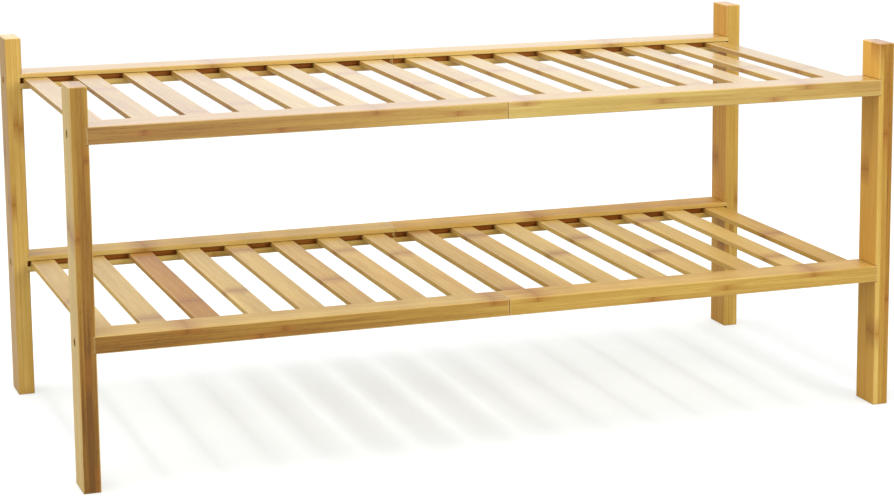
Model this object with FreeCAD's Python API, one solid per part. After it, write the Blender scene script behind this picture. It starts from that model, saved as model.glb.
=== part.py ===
import FreeCAD, Part
import math
import os

# Two-tier slatted bamboo rack, millimetres.
# Origin on the floor at the centre of the footprint, +Z up, +X along the length,
# -Y towards the front. Each piece is written to parts/NODE.step.

# ---- overall ----
length = 750.0                  # over the outer faces of the posts, along X
depth = 366.0                   # over the front and back faces, along Y
height = 340.0                  # floor to post tops

# ---- posts and rails ----
post_thickness = 15.0           # along X
post_depth = 34.0               # along Y
rail_height = 15.0              # along Z
rail_depth = 34.0               # along Y
lower_shelf_clearance = 118.0   # floor to the lower rails
post_rise = 33.0                # upper rails to the post tops
edge_radius = 1.0               # eased edges of posts and rails
seam_chamfer = 0.4              # broken edge at the middle end of each half rail

# ---- slats ----
slats_per_shelf = 16
slat_width = 22.0               # along X
slat_thickness = 5.0            # along Z
slat_edge_radius = 0.8
groove_lip = 4.2                # rail left above the slat groove
groove_depth = 6.0              # into the rail's inner face
end_slat_gap = 1.2              # first slat to the post's inner face

# ---- joints ----
housing_depth = 2.0             # notch in the post's inner face that takes the rail end
plate_length = 60.0             # along X, centred on the middle seam
plate_width = 16.0              # along Y
plate_thickness = 1.5
plate_corner_radius = 3.0
plate_screw_offsets = (12.0, 24.0)   # from the seam, on each half
dowel_diameter = 6.0
dowel_length = 30.0
dowel_chamfer = 0.8

# ---- frame screws, one from each post into each rail end ----
screw_length = 50.0             # head included
screw_diameter = 4.8
screw_head_diameter = 7.0
screw_head_height = 3.5
screw_head_chamfer = 0.4
screw_point = 4.0               # length of the tapered end
screw_tip_radius = 0.4
socket_across_flats = 3.0
socket_depth = 2.0
counterbore_depth = 6.0         # outer face of the post to the seat of the head

# ---- plate screws ----
plate_screw_length = 8.0
plate_screw_diameter = 2.8
plate_screw_head = 5.6
plate_screw_point = 2.0
plate_screw_tip_radius = 0.3
recess_width = 0.7              # cross recess in the head
recess_span = 3.0
recess_depth = 0.8

# ---- fits ----
seam_gap = 0.4                  # between the two halves of a rail
housing_fit = 0.3               # notch to rail, above and below
slat_fit = 0.2                  # groove to slat, above and below
slat_end_fit = 0.5              # groove floor to slat end
counterbore_fit = 0.25          # radial, around the screw head
hole_fit = 0.1                  # radial, around shanks and dowels
bore_end_fit = 1.0              # past the end of a screw or dowel
plate_fit = 0.3                 # pocket to plate, all round
plate_recess = 0.2              # rail underside to plate underside
overrun = 1.0                   # cutters past the faces they open

# ---- derived ----
shelf_undersides = {"lower": lower_shelf_clearance, "top": height - post_rise - rail_height}
half_length = length / 2.0
half_depth = depth / 2.0
post_inner_x = half_length - post_thickness
rail_end_x = post_inner_x + housing_depth
rail_centre_y = half_depth - rail_depth / 2.0
rail_inner_y = half_depth - rail_depth
groove_height = slat_thickness + 2.0 * slat_fit
groove_floor_z = rail_height - groove_lip - groove_height   # above the rail underside
solid_depth = rail_depth - groove_depth                     # rail left behind the groove
solid_centre_y = half_depth - solid_depth / 2.0
slat_half_length = rail_inner_y + groove_depth - slat_end_fit
first_slat_x = -post_inner_x + end_slat_gap + slat_width / 2.0
slat_pitch = -2.0 * first_slat_x / (slats_per_shelf - 1)
screw_seat_x = half_length - counterbore_depth
screw_tip_x = screw_seat_x - (screw_length - screw_head_height)

X_AXIS = FreeCAD.Vector(1, 0, 0)
Y_AXIS = FreeCAD.Vector(0, 1, 0)
Z_AXIS = FreeCAD.Vector(0, 0, 1)
ORIGIN = FreeCAD.Vector(0, 0, 0)


def box(x_range, y_range, z_range):
    """Box between two limits on each axis."""
    corner = FreeCAD.Vector(x_range[0], y_range[0], z_range[0])
    sizes = [r[1] - r[0] for r in (x_range, y_range, z_range)]
    return Part.makeBox(sizes[0], sizes[1], sizes[2], corner)


def edges_along(shape, axis):
    """Straight edges that run parallel to the axis."""
    found = []
    for edge in shape.Edges:
        run = edge.Vertexes[-1].Point.sub(edge.Vertexes[0].Point)
        if run.Length > 0 and run.cross(axis).Length < 1e-6 * run.Length:
            found.append(edge)
    return found


def edges_on_plane_x(shape, x):
    """Edges that lie wholly in the plane at x."""
    return [e for e in shape.Edges if all(abs(v.Point.x - x) < 1e-6 for v in e.Vertexes)]


def reflect(shape, side_x, side_y):
    """Move a shape built at +X +Y to the corner given by two signs."""
    if side_x < 0:
        shape = shape.mirror(ORIGIN, X_AXIS)
    if side_y < 0:
        shape = shape.mirror(ORIGIN, Y_AXIS)
    return shape


def cylinder(radius, start, end):
    """Round bar between two points."""
    run = end.sub(start)
    return Part.makeCylinder(radius, run.Length, start, run)


def screw_axis_z(underside):
    """Height of the frame screw: the middle of the rail."""
    return underside + rail_height / 2.0


def frame_screw(underside):
    """Socket-head screw at the +X +Y corner, pointing towards -X."""
    z = screw_axis_z(underside)
    seat = FreeCAD.Vector(screw_seat_x, rail_centre_y, z)
    head_end = FreeCAD.Vector(screw_seat_x + screw_head_height, rail_centre_y, z)
    point_start = FreeCAD.Vector(screw_tip_x + screw_point, rail_centre_y, z)
    head = cylinder(screw_head_diameter / 2.0, seat, head_end)
    head = head.makeChamfer(screw_head_chamfer, edges_on_plane_x(head, head_end.x))
    shank = cylinder(screw_diameter / 2.0, seat, point_start)
    point = Part.makeCone(screw_diameter / 2.0, screw_tip_radius, screw_point,
                          point_start, X_AXIS * -1.0)
    corner_radius = socket_across_flats / 2.0 / math.cos(math.pi / 6.0)
    corners = []
    for step in range(7):
        turn = math.radians(60 * step)
        corners.append(head_end.add(FreeCAD.Vector(
            0, corner_radius * math.cos(turn), corner_radius * math.sin(turn))))
    socket = Part.Face(Part.makePolygon(corners)).extrude(X_AXIS * -socket_depth)
    return head.fuse([shank, point]).removeSplitter().cut(socket)


def frame_screw_hole(underside):
    """Counterbore, clearance hole and pilot for the frame screw, as one cutter."""
    z = screw_axis_z(underside)
    outside = FreeCAD.Vector(half_length + overrun, rail_centre_y, z)
    seat = FreeCAD.Vector(screw_seat_x, rail_centre_y, z)
    end = FreeCAD.Vector(screw_tip_x - bore_end_fit, rail_centre_y, z)
    counterbore = cylinder(screw_head_diameter / 2.0 + counterbore_fit, outside, seat)
    hole = cylinder(screw_diameter / 2.0 + hole_fit, outside, end)
    return counterbore.fuse(hole)


def post():
    """Post at the +X +Y corner, notched and bored for both rails."""
    body = box((post_inner_x, half_length), (half_depth - post_depth, half_depth), (0, height))
    body = body.makeFillet(edge_radius, body.Edges)
    for underside in shelf_undersides.values():
        notch = box((post_inner_x - overrun, rail_end_x),
                    (half_depth - post_depth - overrun, half_depth + overrun),
                    (underside - housing_fit, underside + rail_height + housing_fit))
        body = body.cut(notch).cut(frame_screw_hole(underside))
    return body


def plate_screw_points(underside):
    """Centres of the plate screws on the +X half, at the underside of the plate."""
    z = underside + plate_recess
    return [FreeCAD.Vector(x, solid_centre_y, z) for x in plate_screw_offsets]


def dowel_rows():
    """Y of the two dowels across the solid part of a rail."""
    return (solid_centre_y - solid_depth / 4.0, solid_centre_y + solid_depth / 4.0)


def half_rail(underside):
    """Half of a rail on the +X +Y side, from the middle seam to the post notch."""
    seam_x = seam_gap / 2.0
    top = underside + rail_height
    body = box((seam_x, rail_end_x), (rail_inner_y, half_depth), (underside, top))
    body = body.makeFillet(edge_radius, edges_along(body, X_AXIS))
    body = body.makeChamfer(seam_chamfer, edges_on_plane_x(body, seam_x))
    groove = box((0, rail_end_x + overrun),
                 (rail_inner_y - overrun, rail_inner_y + groove_depth),
                 (underside + groove_floor_z, underside + groove_floor_z + groove_height))
    pocket_top = underside + plate_recess + plate_thickness
    pocket = plate_outline(plate_fit, underside - overrun, pocket_top)
    cutters = [groove, pocket, frame_screw_hole(underside)]
    for point in plate_screw_points(underside):
        end = point.add(Z_AXIS * (plate_screw_length + bore_end_fit))
        cutters.append(cylinder(plate_screw_diameter / 2.0 + hole_fit, point, end))
    for y in dowel_rows():
        start = FreeCAD.Vector(0, y, underside + rail_height / 2.0)
        end = start.add(X_AXIS * (dowel_length / 2.0 + bore_end_fit))
        cutters.append(cylinder(dowel_diameter / 2.0 + hole_fit, start, end))
    for cutter in cutters:
        body = body.cut(cutter)
    return body


def slat(underside, index):
    """One slat, resting on the floor of the grooves of both rails."""
    x = first_slat_x + index * slat_pitch
    z = underside + groove_floor_z
    body = box((x - slat_width / 2.0, x + slat_width / 2.0),
               (-slat_half_length, slat_half_length),
               (z, z + slat_thickness))
    return body.makeFillet(slat_edge_radius, edges_along(body, Y_AXIS))


def plate_outline(fit, bottom, top):
    """Round-cornered block with the plan of the joining plate, grown by the fit."""
    half_x = plate_length / 2.0 + fit
    half_y = plate_width / 2.0 + fit
    body = box((-half_x, half_x),
               (solid_centre_y - half_y, solid_centre_y + half_y), (bottom, top))
    return body.makeFillet(plate_corner_radius + fit, edges_along(body, Z_AXIS))


def plate(underside):
    """Flat steel plate across the seam of the back rail, flush in its pocket."""
    bottom = underside + plate_recess
    body = plate_outline(0.0, bottom, bottom + plate_thickness)
    for point in plate_screw_points(underside):
        hole = plate_screw_blank(point, hole_fit)
        body = body.cut(hole).cut(hole.mirror(ORIGIN, X_AXIS))
    return body


def plate_screw_blank(point, fit):
    """Head cone and shank of a plate screw, grown by the fit."""
    radius = plate_screw_diameter / 2.0 + fit
    head_radius = plate_screw_head / 2.0 + fit
    cone = Part.makeCone(head_radius, radius, head_radius - radius, point, Z_AXIS)
    shank_end = point.add(Z_AXIS * (plate_screw_length - plate_screw_point))
    return cone.fuse(cylinder(radius, point, shank_end)).removeSplitter()


def plate_screw(point):
    """Countersunk screw with a cross recess, pointing up into the rail."""
    blank = plate_screw_blank(point, 0.0)
    point_start = point.add(Z_AXIS * (plate_screw_length - plate_screw_point))
    tip = Part.makeCone(plate_screw_diameter / 2.0, plate_screw_tip_radius, plate_screw_point,
                        point_start, Z_AXIS)
    blank = blank.fuse(tip).removeSplitter()
    half_span = recess_span / 2.0
    half_width = recess_width / 2.0
    z_range = (point.z - overrun, point.z + recess_depth)
    for half_x, half_y in ((half_span, half_width), (half_width, half_span)):
        slot = box((point.x - half_x, point.x + half_x),
                   (point.y - half_y, point.y + half_y), z_range)
        blank = blank.cut(slot)
    return blank


def dowel(underside, y):
    """Round pin across the seam, chamfered at both ends."""
    z = underside + rail_height / 2.0
    start = FreeCAD.Vector(-dowel_length / 2.0, y, z)
    end = FreeCAD.Vector(dowel_length / 2.0, y, z)
    pin = cylinder(dowel_diameter / 2.0, start, end)
    rims = edges_on_plane_x(pin, start.x) + edges_on_plane_x(pin, end.x)
    return pin.makeChamfer(dowel_chamfer, rims)


def four_corners(shape):
    """The shape and its mirror images left and right, front and back."""
    return [reflect(shape, side_x, side_y) for side_y in (-1, 1) for side_x in (-1, 1)]


def front_and_back(shape):
    """The shape and its mirror image at the front."""
    return [reflect(shape, 1, side_y) for side_y in (-1, 1)]


def build():
    """All pieces by node name."""
    rows = {"front": -1, "back": 1}
    sides = {"left": -1, "right": 1}
    nodes = {}
    corner_post = post()
    for row, side_y in rows.items():
        for side, side_x in sides.items():
            nodes[f"post_{row}_{side}"] = reflect(corner_post, side_x, side_y)
    for shelf, underside in shelf_undersides.items():
        rail = half_rail(underside)
        flat = plate(underside)
        for row, side_y in rows.items():
            for side, side_x in sides.items():
                nodes[f"{shelf}_rail_{row}_{side}"] = reflect(rail, side_x, side_y)
            nodes[f"{shelf}_join_plate_{row}"] = reflect(flat, 1, side_y)
        for index in range(slats_per_shelf):
            nodes[f"{shelf}_slat_{index + 1:02d}"] = slat(underside, index)
        nodes[f"{shelf}_frame_screws"] = Part.makeCompound(four_corners(frame_screw(underside)))
        screws = []
        for point in plate_screw_points(underside):
            screws += four_corners(plate_screw(point))
        nodes[f"{shelf}_plate_screws"] = Part.makeCompound(screws)
        pins = []
        for y in dowel_rows():
            pins += front_and_back(dowel(underside, y))
        nodes[f"{shelf}_join_dowels"] = Part.makeCompound(pins)
    return nodes


os.makedirs("parts", exist_ok=True)
for node, shape in build().items():
    shape.exportStep(f"parts/{node}.step")
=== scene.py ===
"""Looks of the two-tier slatted bamboo bench: finishes, floor, light and camera round the frame.

Lengths are in metres. Every CAD node keeps its own mesh. A node's place is in its mesh, so Object
coordinates are the bench's own: X along the rails, Y from front to back, Z up from the floor.
"""

import math

import bpy
import numpy as np
from mathutils import Matrix, Vector


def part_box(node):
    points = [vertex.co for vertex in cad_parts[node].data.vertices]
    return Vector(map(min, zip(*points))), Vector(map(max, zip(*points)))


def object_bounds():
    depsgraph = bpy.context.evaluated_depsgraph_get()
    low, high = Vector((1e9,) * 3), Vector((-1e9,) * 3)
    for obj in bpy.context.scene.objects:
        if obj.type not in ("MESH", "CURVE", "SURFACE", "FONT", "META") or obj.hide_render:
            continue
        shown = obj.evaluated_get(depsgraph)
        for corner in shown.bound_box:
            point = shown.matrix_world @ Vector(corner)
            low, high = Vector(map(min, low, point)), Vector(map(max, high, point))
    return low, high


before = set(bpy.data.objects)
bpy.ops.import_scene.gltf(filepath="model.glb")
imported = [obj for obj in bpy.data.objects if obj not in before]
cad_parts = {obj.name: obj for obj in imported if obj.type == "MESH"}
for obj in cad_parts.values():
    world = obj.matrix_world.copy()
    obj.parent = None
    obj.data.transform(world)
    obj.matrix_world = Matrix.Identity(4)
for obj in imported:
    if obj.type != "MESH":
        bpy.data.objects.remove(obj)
cad_low, cad_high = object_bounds()

MILLIMETRE = 0.001

# ---------------------------------------------------------------------------------------------
# Laminated stock. Every piece has axes of its own: X along its grain, Y across the face of its
# strips and Z through their thickness.
# ---------------------------------------------------------------------------------------------
GRAIN_UP = (0, math.radians(-90), 0)
GRAIN_ALONG_X = (0, 0, 0)
GRAIN_ALONG_Y = (0, 0, math.radians(90))

# A strip is longer than any piece, so that none ends inside one.
strip_length = 1.0
layer_thickness = 5 * MILLIMETRE
glue_line_width = 0.22 * MILLIMETRE
glue_line_inset = 1.2 * MILLIMETRE

# What lies at the middle of a piece: the middle of a strip, or the joint between two.
MID_STRIP = 0.5
MID_JOINT = 0.0

# The marks of the grain: their size along it and across it, and how far apart in the noise two
# strips whose random numbers differ by 1 are read.
DRIFT_SIZE = (0.19, 0.022)
STREAK_SIZE = (0.11, 0.0021)
FIBRE_SIZE = (0.030, 0.0005)
VESSEL_SIZE = (0.011, 0.00085)
strip_jump = 3.7

# The rings of the cane: how they are spaced, bent and moved from strip to strip, the size of their
# unevenness, and from where to where each of their marks fades out.
ring_spacing = 0.27
ring_bow = 6.0
ring_jump = 5.3
ring_wander = 2.4 * MILLIMETRE
WANDER_SIZE = (0.05, 0.004, 0.004)
BLUSH_SIZE = (0.022, 0.007, 0.007)
ring_side_reach = 5 * MILLIMETRE
RING_LINE = (0.1 * MILLIMETRE, 0.9 * MILLIMETRE)
RING_BAND = (0.5 * MILLIMETRE, 6 * MILLIMETRE)
RING_ZONE = (2 * MILLIMETRE, 26 * MILLIMETRE)
RING_SIDE = (30 * MILLIMETRE, 90 * MILLIMETRE)

# How far from an edge it is rubbed, and the depths by which a surface is told from a cut.
edge_wear_width = 1.6 * MILLIMETRE
WEAR_PATCH = (0.02, 0.02, 0.02)
skin_depth = 0.3 * MILLIMETRE
rounding_depth = 0.9 * MILLIMETRE
cut_depth = 2 * MILLIMETRE

# Bamboo from its palest to its darkest, as linear colours, and the colours of its marks.
BAMBOO_TONES = (
    (0.00, (0.665, 0.470, 0.138)),
    (0.30, (0.525, 0.318, 0.062)),
    (0.60, (0.390, 0.196, 0.030)),
    (0.85, (0.262, 0.108, 0.014)),
    (1.00, (0.155, 0.058, 0.008)),
)
KNUCKLE_BROWN = (0.110, 0.042, 0.008)
KNUCKLE_BLUSH = (0.330, 0.125, 0.018)
GLUE_BROWN = (0.190, 0.080, 0.018)
RUBBED_EDGE = (0.640, 0.450, 0.180)
# Painted shade: the reddish tint that the inside of grooves, notches and holes is multiplied by, for
# the shade that falls there.
RECESS_SHADE_TINT = (1.00, 0.70, 0.55)

# What one step of warmth takes off the green and off the blue.
warm_green = 0.07
warm_blue = 0.18

# How much darker each mark makes the tone.
drift_shade = 0.52
streak_shade = 0.58
fibre_shade = 0.30
vessel_shade = 0.10
ring_band_shade = 0.16
ring_side_shade = 0.05
# Painted shade: how much darker the inside of grooves, notches and holes is made, for the shade that
# falls there.
recess_painted_shade = 0.62

# How much of its own colour each mark shows.
blush_share = 0.50
ring_line_share = 0.26
glue_share = 0.50
rubbed_share = 0.30

# The lacquer's roughness: on a plain face, what gloss takes off it, and what each mark adds.
plain_roughness = 0.46
gloss_smoothness = 0.14
fibre_roughness = 0.16
vessel_roughness = 0.10
rubbed_roughness = -0.08
bare_roughness = 0.60
narrow_roughness = 0.22

# Relief: how far a height of 1 stands out, how strongly it shows, and the height of each mark.
relief_depth = 0.12 * MILLIMETRE
relief_strength = 0.35
fibre_height = 0.5
vessel_height = -0.35
ring_line_height = -0.6
ring_band_height = 0.5
glue_height = -0.6

# The clear coat: how uneven it is, and how much of it narrow faces and end grain have.
coat_unevenness = 0.1
narrow_coat = 0.15
end_coat = 0.9
coat_roughness = 0.22
lacquer_ior = 1.5
plain_specular = 0.20
gloss_specular = 0.30


# ---------------------------------------------------------------------------------------------
# Shader helpers
# ---------------------------------------------------------------------------------------------
FLOAT = "NodeSocketFloat"
VECTOR = "NodeSocketVector"
NO_VECTOR = (0.0, 0.0, 0.0)


def shader_node(tree, kind, inputs=None, **settings):
    """A new node. settings are its properties; inputs gives each socket a value or a link."""
    made = tree.nodes.new(kind)
    for name, value in settings.items():
        setattr(made, name, value)
    for socket, value in (inputs or {}).items():
        feed(tree, made.inputs[socket], value)
    return made


def feed(tree, socket, value):
    """Links an output to a socket, or sets the socket's own value."""
    if isinstance(value, bpy.types.NodeSocket):
        tree.links.new(value, socket)
    else:
        socket.default_value = value


def maths(tree, operation, *values):
    """The output of a Math node on up to three values or outputs."""
    made = shader_node(tree, "ShaderNodeMath", dict(enumerate(values)), operation=operation)
    return made.outputs[0]


def vector_maths(tree, operation, *values):
    """The output of a Vector Math node on up to three vectors or outputs."""
    made = shader_node(tree, "ShaderNodeVectorMath", dict(enumerate(values)), operation=operation)
    return made.outputs[0]


def add_up(tree, start, *parts):
    """start plus each part's mask times its amount."""
    for mask, amount in parts:
        start = maths(tree, "MULTIPLY_ADD", mask, amount, start)
    return start


def centred(tree, mask):
    """A mask from 0 to 1 moved to run from -0.5 to 0.5."""
    return maths(tree, "SUBTRACT", mask, 0.5)


def inverse(tree, mask):
    """1 where a mask is 0, and 0 where it is 1."""
    return maths(tree, "SUBTRACT", 1.0, mask)


def split(tree, vector):
    """The three numbers of a vector."""
    made = shader_node(tree, "ShaderNodeSeparateXYZ", {0: vector})
    return made.outputs[0], made.outputs[1], made.outputs[2]


def join(tree, x, y, z):
    """A vector made of three numbers."""
    return shader_node(tree, "ShaderNodeCombineXYZ", {0: x, 1: y, 2: z}).outputs[0]


def ramp_between(tree, value, start, end, low=0.0, high=1.0):
    """low before start, high after end, and a smooth step from one to the other between them."""
    inputs = {"Value": value, "From Min": start, "From Max": end, "To Min": low, "To Max": high}
    made = shader_node(tree, "ShaderNodeMapRange", inputs, interpolation_type="SMOOTHSTEP")
    return made.outputs[0]


def fade_out(tree, value, start, end):
    """1 before start, 0 after end, and a smooth step down between them."""
    return ramp_between(tree, value, start, end, 1.0, 0.0)


def mix_colours(tree, factor, first, second, blend="MIX"):
    """first where factor is 0 and second, blended with first, where it is 1."""
    made = shader_node(tree, "ShaderNodeMix", data_type="RGBA", blend_type=blend)
    for socket, value in ((0, factor), (6, first), (7, second)):
        feed(tree, made.inputs[socket], value)
    return made.outputs[2]


def noise(tree, vector, detail, roughness=0.55):
    """Smooth noise from 0 to 1 with features about one unit of vector across."""
    inputs = {"Vector": vector, "Scale": 1.0, "Detail": detail, "Roughness": roughness}
    return shader_node(tree, "ShaderNodeTexNoise", inputs).outputs["Fac"]


def noise_in_steps(tree, vector, step, detail, roughness=0.55):
    """Smooth noise on vector, with features about as large as step, a size for each axis."""
    return noise(tree, vector_maths(tree, "DIVIDE", vector, step), detail, roughness)


def opaque(colour):
    """A colour with full alpha."""
    return (*colour, 1.0)


class Group:
    """A shader node group being built: its tree, its named inputs and its named outputs."""

    def __init__(self, name, inputs, outputs):
        self.tree = bpy.data.node_groups.new(name, "ShaderNodeTree")
        for socket, kind, value in inputs:
            made = self.tree.interface.new_socket(socket, in_out="INPUT", socket_type=kind)
            made.default_value = value
        for socket in outputs:
            self.tree.interface.new_socket(socket, in_out="OUTPUT", socket_type=FLOAT)
        self.inside = self.tree.nodes.new("NodeGroupInput").outputs
        self.result = self.tree.nodes.new("NodeGroupOutput").inputs

    def put_out(self, name, value):
        """Links a value to the output of that name."""
        self.tree.links.new(value, self.result[name])


def place_group(tree, group, **inputs):
    """The outputs of a group placed in a material, with its inputs given as plain words."""
    made = shader_node(tree, "ShaderNodeGroup", node_tree=group)
    for name, value in inputs.items():
        feed(tree, made.inputs[name.replace("_", " ").title()], value)
    return made.outputs


# ---------------------------------------------------------------------------------------------
# Shared effects
# ---------------------------------------------------------------------------------------------
def make_strip_layout():
    """Which glued strip a point is in, and where the glue lines are.

    The piece's cross-section is cut in cells of Strip Size. A cell's number is its whole steps from
    the middle. The point is first drawn in by a thousandth, because one on the surface would be
    right on a cell's edge. Strip Random is the cell's own random number from 0 to 1, and Strip Step
    its number through the thickness. Glue Line is 1 where a point is near a cell's edge but not
    near the piece's surface.
    """
    inputs = (
        ("Vector", VECTOR, NO_VECTOR),
        ("Half Size", VECTOR, (1, 1, 1)),
        ("Strip Size", VECTOR, (1, 1, 1)),
        ("Strip Shift", VECTOR, NO_VECTOR),
        ("Seed", FLOAT, 0.0),
    )
    group = Group("Strip Layout", inputs, ("Strip Random", "Strip Step", "Glue Line"))
    tree = group.tree
    inside = group.inside
    drawn_in = vector_maths(tree, "MULTIPLY", inside["Vector"], (0.999, 0.999, 0.999))
    steps = vector_maths(tree, "DIVIDE", drawn_in, inside["Strip Size"])
    steps = vector_maths(tree, "ADD", steps, inside["Strip Shift"])
    cell = vector_maths(tree, "FLOOR", steps)
    seed = join(tree, inside["Seed"], inside["Seed"], inside["Seed"])
    seeded = {"Vector": vector_maths(tree, "ADD", cell, seed)}
    random = shader_node(tree, "ShaderNodeTexWhiteNoise", seeded, noise_dimensions="3D")
    group.put_out("Strip Random", random.outputs["Value"])
    group.put_out("Strip Step", split(tree, cell)[2])

    from_middle = vector_maths(tree, "ABSOLUTE", inside["Vector"])
    to_surface = vector_maths(tree, "SUBTRACT", inside["Half Size"], from_middle)
    half = (0.5, 0.5, 0.5)
    to_line = vector_maths(tree, "SUBTRACT", vector_maths(tree, "FRACTION", steps), half)
    to_line = vector_maths(tree, "SUBTRACT", half, vector_maths(tree, "ABSOLUTE", to_line))
    to_line = vector_maths(tree, "MULTIPLY", to_line, inside["Strip Size"])
    lines = []
    for gap, depth in zip(split(tree, to_line)[1:], split(tree, to_surface)[1:]):
        line = fade_out(tree, gap, 0.0, glue_line_width)
        inner = maths(tree, "GREATER_THAN", depth, glue_line_inset)
        lines.append(maths(tree, "MULTIPLY", line, inner))
    group.put_out("Glue Line", maths(tree, "MAXIMUM", *lines))
    return group.tree


def make_bamboo_grain():
    """Drift, streaks, fine fibres and short dark vessels, all long in X and narrow in Y and Z.

    Each is noise read at the point moved by the strip's random number and by the seed, so that no
    two strips match, and it is stretched by dividing the point by the size of the mark.
    """
    inputs = (("Vector", VECTOR, NO_VECTOR), ("Strip Random", FLOAT, 0.0), ("Seed", FLOAT, 0.0))
    group = Group("Bamboo Grain", inputs, ("Drift", "Streaks", "Fibres", "Vessels"))
    tree = group.tree
    inside = group.inside
    own = maths(tree, "MULTIPLY_ADD", inside["Strip Random"], strip_jump, inside["Seed"])
    moved = vector_maths(tree, "ADD", inside["Vector"], join(tree, own, own, own))

    def stretched(size):
        """The moved point in steps of a mark's size, along the grain and across it."""
        along, across = size
        return vector_maths(tree, "DIVIDE", moved, (along, across, across))

    group.put_out("Drift", noise(tree, stretched(DRIFT_SIZE), 2.0))
    group.put_out("Streaks", noise(tree, stretched(STREAK_SIZE), 4.0, 0.62))
    group.put_out("Fibres", noise(tree, stretched(FIBRE_SIZE), 3.0, 0.6))
    cells = {"Vector": stretched(VESSEL_SIZE), "Scale": 1.0}
    vessels = shader_node(tree, "ShaderNodeTexVoronoi", cells).outputs["Distance"]
    group.put_out("Vessels", fade_out(tree, vessels, 0.16, 0.30))
    return group.tree


def make_knuckle_bands():
    """The rings where a bamboo cane is jointed: a soft band with a thin dark line at its middle.

    They repeat along X at Spacing, each moved by a random share of it, and their line bows across
    the strip as a shallow parabola, Bow times Y squared, with a little noise on it. Zone is the wide
    uneven blush on both sides of the ring. Side is -0.5 before the ring and 0.5 after it, and fades
    to 0 away from it.
    """
    inputs = (
        ("Vector", VECTOR, NO_VECTOR),
        ("Strip Random", FLOAT, 0.0),
        ("Seed", FLOAT, 0.0),
        ("Spacing", FLOAT, 1.0),
        ("Bow", FLOAT, 0.0),
    )
    group = Group("Knuckle Bands", inputs, ("Zone", "Band", "Line", "Side"))
    tree = group.tree
    inside = group.inside
    along, across = split(tree, inside["Vector"])[:2]
    wander = noise_in_steps(tree, inside["Vector"], WANDER_SIZE, 2.0)
    bent = maths(tree, "MULTIPLY", maths(tree, "MULTIPLY", across, across), inside["Bow"])
    bent = maths(tree, "MULTIPLY_ADD", wander, ring_wander, bent)
    place = maths(tree, "ADD", along, bent)
    own = maths(tree, "MULTIPLY_ADD", inside["Strip Random"], ring_jump, inside["Seed"])
    steps = maths(tree, "ADD", maths(tree, "DIVIDE", place, inside["Spacing"]), own)
    from_ring = centred(tree, maths(tree, "FRACT", steps))
    from_ring = maths(tree, "MULTIPLY", from_ring, inside["Spacing"])
    distance = maths(tree, "ABSOLUTE", from_ring)
    side = ramp_between(tree, from_ring, -ring_side_reach, ring_side_reach)
    near = fade_out(tree, distance, *RING_SIDE)
    group.put_out("Side", maths(tree, "MULTIPLY", centred(tree, side), near))
    uneven = noise_in_steps(tree, inside["Vector"], BLUSH_SIZE, 3.0)
    spread = maths(tree, "DIVIDE", distance, maths(tree, "ADD", uneven, 0.35))
    group.put_out("Zone", fade_out(tree, spread, *RING_ZONE))
    group.put_out("Band", fade_out(tree, distance, *RING_BAND))
    group.put_out("Line", fade_out(tree, distance, *RING_LINE))
    return group.tree


def make_edge_wear():
    """Where a box-shaped piece is rubbed, and where it has been cut into.

    On the surface one of the three distances to the box's faces is nought, so the middle one of
    the three is the distance to the nearest edge. Wear is 1 on edges and corners and fades to 0
    over Width, and noise makes it uneven. Recess is 0 on the surface and rises to 1 where even the
    smallest of the three is over the depth of a cut, which is inside a groove, a notch or a hole.
    Face is 1 on the broad faces, where the strips lie flat, and 0 on the narrow ones, where they
    are on edge. End is 1 on the two ends of the grain.
    """
    inputs = (
        ("Vector", VECTOR, NO_VECTOR),
        ("Half Size", VECTOR, (1, 1, 1)),
        ("Width", FLOAT, 1.0),
        ("Seed", FLOAT, 0.0),
    )
    group = Group("Edge Wear", inputs, ("Wear", "Recess", "Face", "End"))
    tree = group.tree
    inside = group.inside
    from_middle = vector_maths(tree, "ABSOLUTE", inside["Vector"])
    x, y, z = split(tree, vector_maths(tree, "SUBTRACT", inside["Half Size"], from_middle))
    larger = maths(tree, "MAXIMUM", maths(tree, "MINIMUM", x, y), maths(tree, "MINIMUM", y, z))
    middle = maths(tree, "MAXIMUM", larger, maths(tree, "MINIMUM", x, z))
    seed = join(tree, inside["Seed"], inside["Seed"], inside["Seed"])
    patches = vector_maths(tree, "DIVIDE", inside["Vector"], WEAR_PATCH)
    uneven = noise(tree, vector_maths(tree, "ADD", patches, seed), 3.0, 0.65)
    reach = maths(tree, "MULTIPLY", inside["Width"], maths(tree, "ADD", uneven, 0.45))
    group.put_out("Wear", fade_out(tree, maths(tree, "DIVIDE", middle, reach), 0.25, 1.0))
    smallest = maths(tree, "MINIMUM", maths(tree, "MINIMUM", x, y), z)
    group.put_out("Recess", ramp_between(tree, smallest, skin_depth, cut_depth))
    group.put_out("Face", fade_out(tree, z, skin_depth, rounding_depth))
    group.put_out("End", fade_out(tree, x, skin_depth, rounding_depth))
    return group.tree


strip_layout = make_strip_layout()
bamboo_grain = make_bamboo_grain()
knuckle_bands = make_knuckle_bands()
edge_wear = make_edge_wear()


# ---------------------------------------------------------------------------------------------
# Finishes
# ---------------------------------------------------------------------------------------------
def empty_material(name):
    """A node material with nothing in it yet, and its tree."""
    made = bpy.data.materials.new(name)
    made.use_nodes = True
    made.node_tree.nodes.clear()
    return made, made.node_tree


def close_material(tree, principled):
    """Ends a material's tree in a Principled surface with these inputs."""
    surface = shader_node(tree, "ShaderNodeBsdfPrincipled", principled)
    shader_node(tree, "ShaderNodeOutputMaterial", {"Surface": surface.outputs[0]})


def bumps(tree, height, strength, distance):
    """The normal of a surface with this relief on it."""
    relief = {"Height": height, "Strength": strength, "Distance": distance}
    return shader_node(tree, "ShaderNodeBump", relief).outputs["Normal"]


def piece_coordinates(tree, node, turn):
    """Object coordinates moved to the middle of a CAD node and turned so that X is its grain."""
    low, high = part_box(node)
    points = shader_node(tree, "ShaderNodeTexCoord").outputs["Object"]
    inputs = {"Vector": points, "Location": (low + high) / 2, "Rotation": turn}
    return shader_node(tree, "ShaderNodeMapping", inputs, vector_type="TEXTURE").outputs[0]


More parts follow.
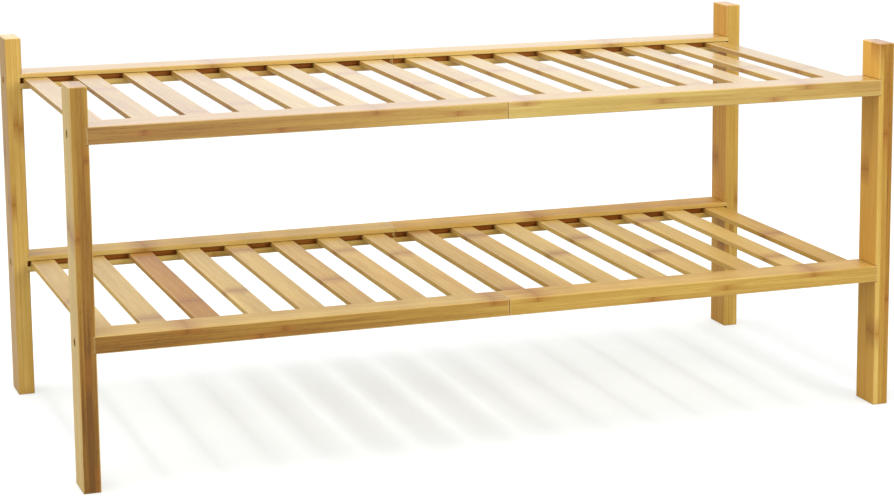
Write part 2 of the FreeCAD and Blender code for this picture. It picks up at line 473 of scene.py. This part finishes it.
def piece_size(node):
    """The size of a CAD node's box."""
    low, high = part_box(node)
    return high - low


def half_size(node, turn):
    """Half of a CAD node's box, in the piece's own axes."""
    x, y, z = piece_size(node) / 2
    return {GRAIN_UP: (z, y, x), GRAIN_ALONG_X: (x, y, z), GRAIN_ALONG_Y: (y, x, z)}[turn]


def tone_ramp(tree, tone):
    """The bamboo colour of a tone, from 0, palest, to 1, darkest."""
    made = shader_node(tree, "ShaderNodeValToRGB", {"Fac": tone})
    stops = made.color_ramp.elements
    stops[0].position, stops[0].color = BAMBOO_TONES[0][0], opaque(BAMBOO_TONES[0][1])
    stops[1].position, stops[1].color = BAMBOO_TONES[-1][0], opaque(BAMBOO_TONES[-1][1])
    for place, colour in BAMBOO_TONES[1:-1]:
        stops.new(place).color = opaque(colour)
    return made.outputs["Color"]


class Look:
    """How one bamboo piece looks.

    tone is how dark its broad faces are, edge how much darker the narrow ones are, contrast how far
    the strips differ, and slope how much darker each layer is than the one before it. The falloff is
    painted shade: how much darker the narrow faces are at the start of the grain than at its end,
    standing in for light that falls off along the piece. warmth is how far the colour turns from
    straw to orange, first on the broad faces and then on the narrow ones, and gloss how much
    lacquer is on the broad faces.
    """

    def __init__(self, tone, edge=0, fade=0, contrast=0, slope=0, warmth=(0, 0), gloss=0):
        self.tone = tone
        self.edge = edge
        self.fade = fade
        self.contrast = contrast
        self.slope = slope
        self.warmth = warmth
        self.gloss = gloss

    def tints(self):
        """The two colours that warmth multiplies the broad and the narrow faces by."""
        return [opaque((1, 1 - warm_green * w, 1 - warm_blue * w)) for w in self.warmth]


def bamboo(node, turn, strip_size, strip_shift, seed, look):
    """Clear-lacquered laminated bamboo for one piece."""
    made, tree = empty_material("bamboo " + node)
    point = piece_coordinates(tree, node, turn)
    half = half_size(node, turn)
    strips = place_group(
        tree,
        strip_layout,
        vector=point,
        half_size=half,
        strip_size=strip_size,
        strip_shift=strip_shift,
        seed=seed,
    )
    own = strips["Strip Random"]
    grain = place_group(tree, bamboo_grain, vector=point, strip_random=own, seed=seed)
    rings = place_group(
        tree,
        knuckle_bands,
        vector=point,
        strip_random=own,
        seed=seed,
        spacing=ring_spacing,
        bow=ring_bow,
    )
    edges = place_group(
        tree, edge_wear, vector=point, half_size=half, width=edge_wear_width, seed=seed
    )
    wear = edges["Wear"]
    recess = edges["Recess"]
    face = edges["Face"]
    narrow = inverse(tree, face)

    # Painted shade: the narrow faces darken towards one end of the grain, standing in for light that
    # falls off along the piece.
    along = maths(tree, "MULTIPLY", split(tree, point)[0], -0.5 * look.fade / half[0])
    shade = add_up(
        tree,
        look.tone,
        (centred(tree, own), look.contrast),
        (strips["Strip Step"], look.slope),
        (maths(tree, "ADD", along, look.edge), narrow),
        (centred(tree, grain["Drift"]), drift_shade),
        (centred(tree, grain["Streaks"]), streak_shade),
        (centred(tree, grain["Fibres"]), fibre_shade),
        (rings["Band"], ring_band_shade),
        (rings["Side"], ring_side_shade),
        (grain["Vessels"], vessel_shade),
        # painted shade: the inside of grooves, notches and holes is darkened for the shade that falls
        # there
        (recess, recess_painted_shade),
    )
    broad_tint, narrow_tint = look.tints()
    flat = maths(tree, "MAXIMUM", face, edges["End"])
    tint = mix_colours(tree, flat, narrow_tint, broad_tint)
    colour = mix_colours(tree, 1.0, tone_ramp(tree, shade), tint, "MULTIPLY")
    # Painted shade: the inside of grooves, notches and holes is reddened as well, for the shade that
    # falls there.
    colour = mix_colours(tree, recess, colour, opaque(RECESS_SHADE_TINT), "MULTIPLY")
    for mask, share, mark in (
        (rings["Zone"], blush_share, KNUCKLE_BLUSH),
        (rings["Line"], ring_line_share, KNUCKLE_BROWN),
        (strips["Glue Line"], glue_share, GLUE_BROWN),
        (wear, rubbed_share, RUBBED_EDGE),
    ):
        colour = mix_colours(tree, maths(tree, "MULTIPLY", mask, share), colour, opaque(mark))

    roughness = add_up(
        tree,
        plain_roughness - gloss_smoothness * look.gloss,
        (grain["Fibres"], fibre_roughness),
        (grain["Vessels"], vessel_roughness),
        (wear, rubbed_roughness),
        (recess, bare_roughness),
        (narrow, narrow_roughness),
    )
    height = add_up(
        tree,
        0.0,
        (grain["Fibres"], fibre_height),
        (grain["Vessels"], vessel_height),
        (rings["Line"], ring_line_height),
        (rings["Band"], ring_band_height),
        (strips["Glue Line"], glue_height),
    )
    coat = add_up(tree, look.gloss, (grain["Drift"], coat_unevenness))
    coated = add_up(tree, narrow_coat, (face, 1.0 - narrow_coat))
    coat = maths(tree, "MULTIPLY", coat, coated)
    coat = maths(tree, "MAXIMUM", coat, maths(tree, "MULTIPLY", edges["End"], end_coat))
    lacquered = {
        "Base Color": colour,
        "Roughness": roughness,
        "Coat Weight": maths(tree, "MULTIPLY", coat, inverse(tree, recess)),
        "Normal": bumps(tree, height, relief_strength, relief_depth),
        "IOR": lacquer_ior,
        "Specular IOR Level": plain_specular + gloss_specular * look.gloss,
        "Coat Roughness": coat_roughness,
    }
    close_material(tree, lacquered)
    return made


def plated_steel(node, colour, dull_colour, line_size, smoothest):
    """Plated steel: fine lines along X, dull patches and bright rubbed edges."""
    made, tree = empty_material("steel " + node)
    point = piece_coordinates(tree, node, GRAIN_ALONG_X)
    lines = noise_in_steps(tree, point, line_size, 4.0, 0.7)
    patches = noise_in_steps(tree, point, DULL_PATCH, 3.0)
    edges = place_group(
        tree,
        edge_wear,
        vector=point,
        half_size=half_size(node, GRAIN_ALONG_X),
        width=edge_wear_width,
        seed=STEEL_SEED,
    )
    dull = ramp_between(tree, patches, *DULL_FROM_TO)
    shade = mix_colours(tree, dull, opaque(colour), opaque(dull_colour))
    rubbed = maths(tree, "MULTIPLY", edges["Wear"], steel_rubbed_share)
    shade = mix_colours(tree, rubbed, shade, opaque(BRIGHT_STEEL))
    dark_lines = maths(tree, "MULTIPLY", lines, steel_line_share)
    shade = mix_colours(tree, dark_lines, shade, opaque(DARK_STEEL))
    roughness = add_up(tree, smoothest, (lines, steel_line_roughness), (dull, dull_roughness))
    plated = {
        "Base Color": shade,
        "Roughness": roughness,
        "Normal": bumps(tree, lines, steel_relief_strength, steel_relief_depth),
        "Metallic": 1.0,
    }
    close_material(tree, plated)
    return made


def dowel_wood(node):
    """Pale turned hardwood with fine grain down the dowel."""
    made, tree = empty_material("beech " + node)
    point = piece_coordinates(tree, node, GRAIN_ALONG_X)
    grain = place_group(tree, bamboo_grain, vector=point, strip_random=0.0, seed=DOWEL_SEED)
    fibres = grain["Fibres"]
    shade = add_up(tree, 0.0, (fibres, beech_fibre_shade), (grain["Streaks"], beech_streak_shade))
    bare = {
        "Base Color": mix_colours(tree, shade, opaque(PALE_BEECH), opaque(DARK_BEECH)),
        "Roughness": add_up(tree, beech_roughness, (fibres, beech_fibre_roughness)),
        "Normal": bumps(tree, fibres, beech_relief_strength, beech_relief_depth),
    }
    close_material(tree, bare)
    return made


def finish_node(node, material):
    """Puts a material in every slot of a CAD node."""
    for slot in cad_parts[node].material_slots:
        slot.material = material


# ---------------------------------------------------------------------------------------------
# The bench's own pieces. Each kind of piece has a seed of its own to count from.
# ---------------------------------------------------------------------------------------------
POST_SEED = 1.0
STEEL_SEED = 3.0
DOWEL_SEED = 5.0
RAIL_SEED = 20.0
SLAT_SEED = 40.0

# On some posts and front rails the narrow faces darken towards one end of the grain: painted shade for
# light that falls off along them.
POST_LOOKS = {
    "post_back_left": Look(0.34, edge=-0.24, contrast=0.20, warmth=(0.8, 0.7), gloss=0.2),
    "post_back_right": Look(0.31, contrast=0.18, warmth=(2.4, -0.1)),
    "post_front_left": Look(
        0.20, edge=0.67, fade=0.30, contrast=0.16, warmth=(0.3, -1.8), gloss=0.2
    ),
    "post_front_right": Look(
        0.25, edge=0.24, fade=-0.30, contrast=0.12, slope=-0.18, warmth=(3.0, -0.4)
    ),
}
RAIL_LOOKS = {
    "top_rail_front_left": Look(
        0.51, edge=0.07, fade=0.30, contrast=0.14, warmth=(-0.5, -1.6), gloss=0.9
    ),
    "top_rail_front_right": Look(
        0.47, edge=-0.05, fade=-0.20, contrast=0.14, warmth=(-0.5, -2.2), gloss=0.9
    ),
    "top_rail_back_left": Look(0.46, edge=-0.30, contrast=0.14, warmth=(-0.4, 0), gloss=0.85),
    "top_rail_back_right": Look(0.39, edge=-0.30, contrast=0.14, warmth=(-0.3, 0), gloss=0.85),
    "lower_rail_front_left": Look(
        0.26, edge=0.48, fade=0.40, contrast=0.14, warmth=(0, -1.8), gloss=0.2
    ),
    "lower_rail_front_right": Look(
        0.20, edge=0.22, contrast=0.14, warmth=(1.0, -1.2), gloss=0.1
    ),
    "lower_rail_back_left": Look(0.28, edge=-0.23, contrast=0.14, gloss=0.1),
    "lower_rail_back_right": Look(0.37, edge=-0.25, contrast=0.14, warmth=(1.4, 0.9)),
}

# The tone of every slat from left to right, and the one slat that is redder than the rest.
LOWER_TONES = (
    *(0.22, 0.16, 0.50, 0.19, 0.22, 0.34, 0.25, 0.22),
    *(0.26, 0.21, 0.02, 0.04, 0.13, 0.10, 0.06, 0.26),
)
TOP_TONES = (
    *(0.55, 0.59, 0.59, 0.60, 0.49, 0.51, 0.47, 0.50),
    *(0.53, 0.42, 0.50, 0.47, 0.48, 0.49, 0.46, 0.55),
)
RED_SLAT = "lower_slat_03"

# The top shelf has the fuller coat of lacquer. On the lower one it thins, and the bamboo gets
# warmer, from left to right.
TOP_SLAT_WARMTH = (-1.5, -0.4)
top_slat_gloss = 0.9
RED_SLAT_WARMTH = (2.6, 1.0)
red_slat_gloss = 0.15
lower_gloss_at_left = 0.30
lower_warmth_at_right = 0.9

# Steel of the screws and of the joining plates, and the beech of the dowels, as linear colours.
SCREW_STEEL = {
    "colour": (0.36, 0.34, 0.31),
    "dull_colour": (0.22, 0.21, 0.20),
    "line_size": (0.01, 0.0004, 0.0004),
    "smoothest": 0.28,
}
PLATE_STEEL = {
    "colour": (0.60, 0.59, 0.57),
    "dull_colour": (0.45, 0.44, 0.42),
    "line_size": (0.02, 0.0005, 0.0005),
    "smoothest": 0.30,
}
BRIGHT_STEEL = (0.85, 0.84, 0.82)
DARK_STEEL = (0.20, 0.19, 0.18)
PALE_BEECH = (0.72, 0.52, 0.30)
DARK_BEECH = (0.50, 0.31, 0.15)

# Marks on the steel: the size of its dull patches, the noise they begin and end at, how much of its
# own colour each mark shows, what each adds to the roughness, and the relief of the lines.
DULL_PATCH = (0.006, 0.006, 0.006)
DULL_FROM_TO = (0.35, 0.75)
steel_rubbed_share = 0.4
steel_line_share = 0.25
steel_line_roughness = 0.25
dull_roughness = 0.12
steel_relief_strength = 0.3
steel_relief_depth = 0.03 * MILLIMETRE

# Marks on the beech, the same way.
beech_streak_shade = 0.6
beech_fibre_shade = 0.3
beech_roughness = 0.55
beech_fibre_roughness = 0.2
beech_relief_strength = 0.4
beech_relief_depth = 0.1 * MILLIMETRE


def finish_posts():
    """Posts: grain upright, two strips across the wide side and three layers through the other."""
    shift = (MID_STRIP, MID_JOINT, MID_STRIP)
    for number, (node, look) in enumerate(sorted(POST_LOOKS.items())):
        strip_size = (strip_length, piece_size(node).y / 2, layer_thickness)
        finish_node(node, bamboo(node, GRAIN_UP, strip_size, shift, POST_SEED + number, look))


def finish_rails():
    """Rails: grain along the rail, one strip over the width and three layers through the height."""
    shift = (MID_STRIP, MID_STRIP, MID_STRIP)
    for number, (node, look) in enumerate(sorted(RAIL_LOOKS.items())):
        strip_size = (strip_length, piece_size(node).y, layer_thickness)
        seed = RAIL_SEED + number
        finish_node(node, bamboo(node, GRAIN_ALONG_X, strip_size, shift, seed, look))


def slat_look(node, tone):
    """The look of a slat of this tone."""
    if node.startswith("top"):
        return Look(tone, warmth=TOP_SLAT_WARMTH, gloss=top_slat_gloss)
    if node == RED_SLAT:
        return Look(tone, warmth=RED_SLAT_WARMTH, gloss=red_slat_gloss)
    from_left = (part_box(node)[0].x - cad_low.x) / (cad_high.x - cad_low.x)
    warmth = lower_warmth_at_right * from_left
    gloss = lower_gloss_at_left - lower_gloss_at_left * from_left
    return Look(tone, warmth=(warmth, warmth), gloss=gloss)


def finish_slats():
    """Slats: grain from front to back and one strip each, the lower shelf first."""
    slats = sorted(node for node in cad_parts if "_slat_" in node)
    shift = (MID_STRIP, MID_STRIP, MID_STRIP)
    for number, (node, tone) in enumerate(zip(slats, LOWER_TONES + TOP_TONES)):
        size = piece_size(node)
        strip_size = (strip_length, size.x, size.z)
        seed = SLAT_SEED + number
        look = slat_look(node, tone)
        finish_node(node, bamboo(node, GRAIN_ALONG_Y, strip_size, shift, seed, look))


def finish_fittings():
    """Screws, joining plates and dowels."""
    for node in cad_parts:
        if "screws" in node:
            finish_node(node, plated_steel(node, **SCREW_STEEL))
        elif "join_plate" in node:
            finish_node(node, plated_steel(node, **PLATE_STEEL))
        elif "dowels" in node:
            finish_node(node, dowel_wood(node))


finish_posts()
finish_rails()
finish_slats()
finish_fittings()


# ---------------------------------------------------------------------------------------------
# Floor, light and camera
# ---------------------------------------------------------------------------------------------
FLOOR_GREY = (0.47, 0.48, 0.48)
FLOOR_PALE = (0.51, 0.52, 0.52)
FLOOR_GLOW = (1.00, 1.04, 1.03)
CLOUD_SIZE = (0.6, 0.6, 0.6)
floor_half_width = 12.0
floor_steps = 24
floor_roughness = 0.75
floor_cloud_roughness = 0.15
floor_specular = 0.2
floor_glow_strength = 0.505

# The world's light in front and at the back, what it has more overhead and at the left, and the
# white that the camera sees of it.
room_front = 0.60
room_back = 1.08
room_overhead = 0.22
room_left = 0.50
room_seen = 1.1

# The studio lights: places from the middle of the bench, save for the height above the floor,
# sizes in metres and powers in watts.
overhead_left = 0.30
overhead_height = 1.85
OVERHEAD_SIZE = (0.34, 1.4)
overhead_power = 18
front_right = 0.90
front_forward = 2.40
front_height = 1.10
FRONT_SIZE = (1.2, 1.2)
front_power = 35

camera_place = (-0.719, -2.176, 0.632)
camera_heading = -21.82
camera_pitch = -10.14
camera_lens = 100.3
camera_shift = (-0.164, -0.098)


def matt_floor():
    """Pale matt paint. It glows only for the camera, so that the glow lights nothing."""
    made, tree = empty_material("pale studio floor")
    place = shader_node(tree, "ShaderNodeTexCoord").outputs["Object"]
    cloud = noise_in_steps(tree, place, CLOUD_SIZE, 3.0)
    seen = shader_node(tree, "ShaderNodeLightPath").outputs["Is Camera Ray"]
    matt = {
        "Base Color": mix_colours(tree, cloud, opaque(FLOOR_GREY), opaque(FLOOR_PALE)),
        "Roughness": add_up(tree, floor_roughness, (cloud, floor_cloud_roughness)),
        "Specular IOR Level": floor_specular,
        "Emission Color": opaque(FLOOR_GLOW),
        "Emission Strength": maths(tree, "MULTIPLY", seen, floor_glow_strength),
    }
    close_material(tree, matt)
    return made


def make_floor(half_width, steps):
    """A flat square floor: an even grid in X and Y at the height of the posts' feet."""
    line = np.linspace(-half_width, half_width, steps + 1)
    x, y = np.meshgrid(line, line, indexing="ij")
    points = np.stack([x, y, np.full_like(x, cad_low.z)], axis=-1).reshape(-1, 3)
    corner = (np.arange(steps)[:, None] * (steps + 1) + np.arange(steps)).ravel()
    faces = np.stack([corner, corner + steps + 1, corner + steps + 2, corner + 1], axis=-1)
    mesh = bpy.data.meshes.new("floor")
    mesh.from_pydata(points.tolist(), [], faces.tolist())
    mesh.materials.append(matt_floor())
    made = bpy.data.objects.new("floor", mesh)
    bpy.context.scene.collection.objects.link(made)


def soft_light(name, place, aim, size, power, long_side):
    """A rectangular studio light at place, facing aim. Its second size runs along long_side."""
    light = bpy.data.lights.new(name, "AREA")
    light.shape = "RECTANGLE"
    light.size, light.size_y = size
    light.energy = power
    back = (Vector(place) - aim).normalized()
    up = Vector(long_side)
    up = (up - back * up.dot(back)).normalized()
    turn = Matrix((up.cross(back), up, back)).transposed().to_4x4()
    made = bpy.data.objects.new(name, light)
    made.matrix_world = Matrix.Translation(place) @ turn
    bpy.context.scene.collection.objects.link(made)


def white_room():
    """World light all round: brightest at the back, more of it overhead and at the left.

    The camera sees it as plain white.
    """
    world = bpy.data.worlds.new("white studio")
    world.use_nodes = True
    tree = world.node_tree
    background = tree.nodes["Background"]
    background.inputs["Color"].default_value = opaque((1.0, 1.0, 1.0))
    way = shader_node(tree, "ShaderNodeTexCoord").outputs["Generated"]
    x, y, z = split(tree, way)
    lit = ramp_between(tree, y, 0.2, 0.95, room_front, room_back)
    lit = maths(tree, "ADD", lit, ramp_between(tree, z, 0.10, 0.7, 0.0, room_overhead))
    lit = maths(tree, "ADD", lit, ramp_between(tree, x, -0.9, 0.0, room_left, 0.0))
    seen = shader_node(tree, "ShaderNodeLightPath").outputs["Is Camera Ray"]
    white = maths(tree, "MULTIPLY", seen, room_seen)
    feed(tree, background.inputs["Strength"], maths(tree, "MAXIMUM", lit, white))
    bpy.context.scene.world = world


def light_studio():
    """A white room, a long light overhead from front to back, and a wide one in front at the right."""
    white_room()
    centre = (cad_low + cad_high) / 2
    above = (centre.x - overhead_left, centre.y, overhead_height)
    soft_light("overhead light", above, centre, OVERHEAD_SIZE, overhead_power, (0, 1, 0))
    front = (centre.x + front_right, centre.y - front_forward, front_height)
    soft_light("front light", front, centre, FRONT_SIZE, front_power, (0, 0, 1))


def make_camera():
    """The camera stands in front and to the left, above the top shelf, and looks slightly down."""
    lens = bpy.data.cameras.new("camera")
    lens.sensor_width = 36.0
    lens.lens = camera_lens
    lens.shift_x, lens.shift_y = camera_shift
    lens.clip_start, lens.clip_end = 0.05, 60.0
    made = bpy.data.objects.new("camera", lens)
    made.location = camera_place
    made.rotation_euler = (math.radians(90 + camera_pitch), 0.0, math.radians(camera_heading))
    bpy.context.scene.collection.objects.link(made)
    bpy.context.scene.camera = made


make_floor(floor_half_width, floor_steps)
light_studio()
make_camera()
bpy.context.scene.view_settings.view_transform = "Standard"
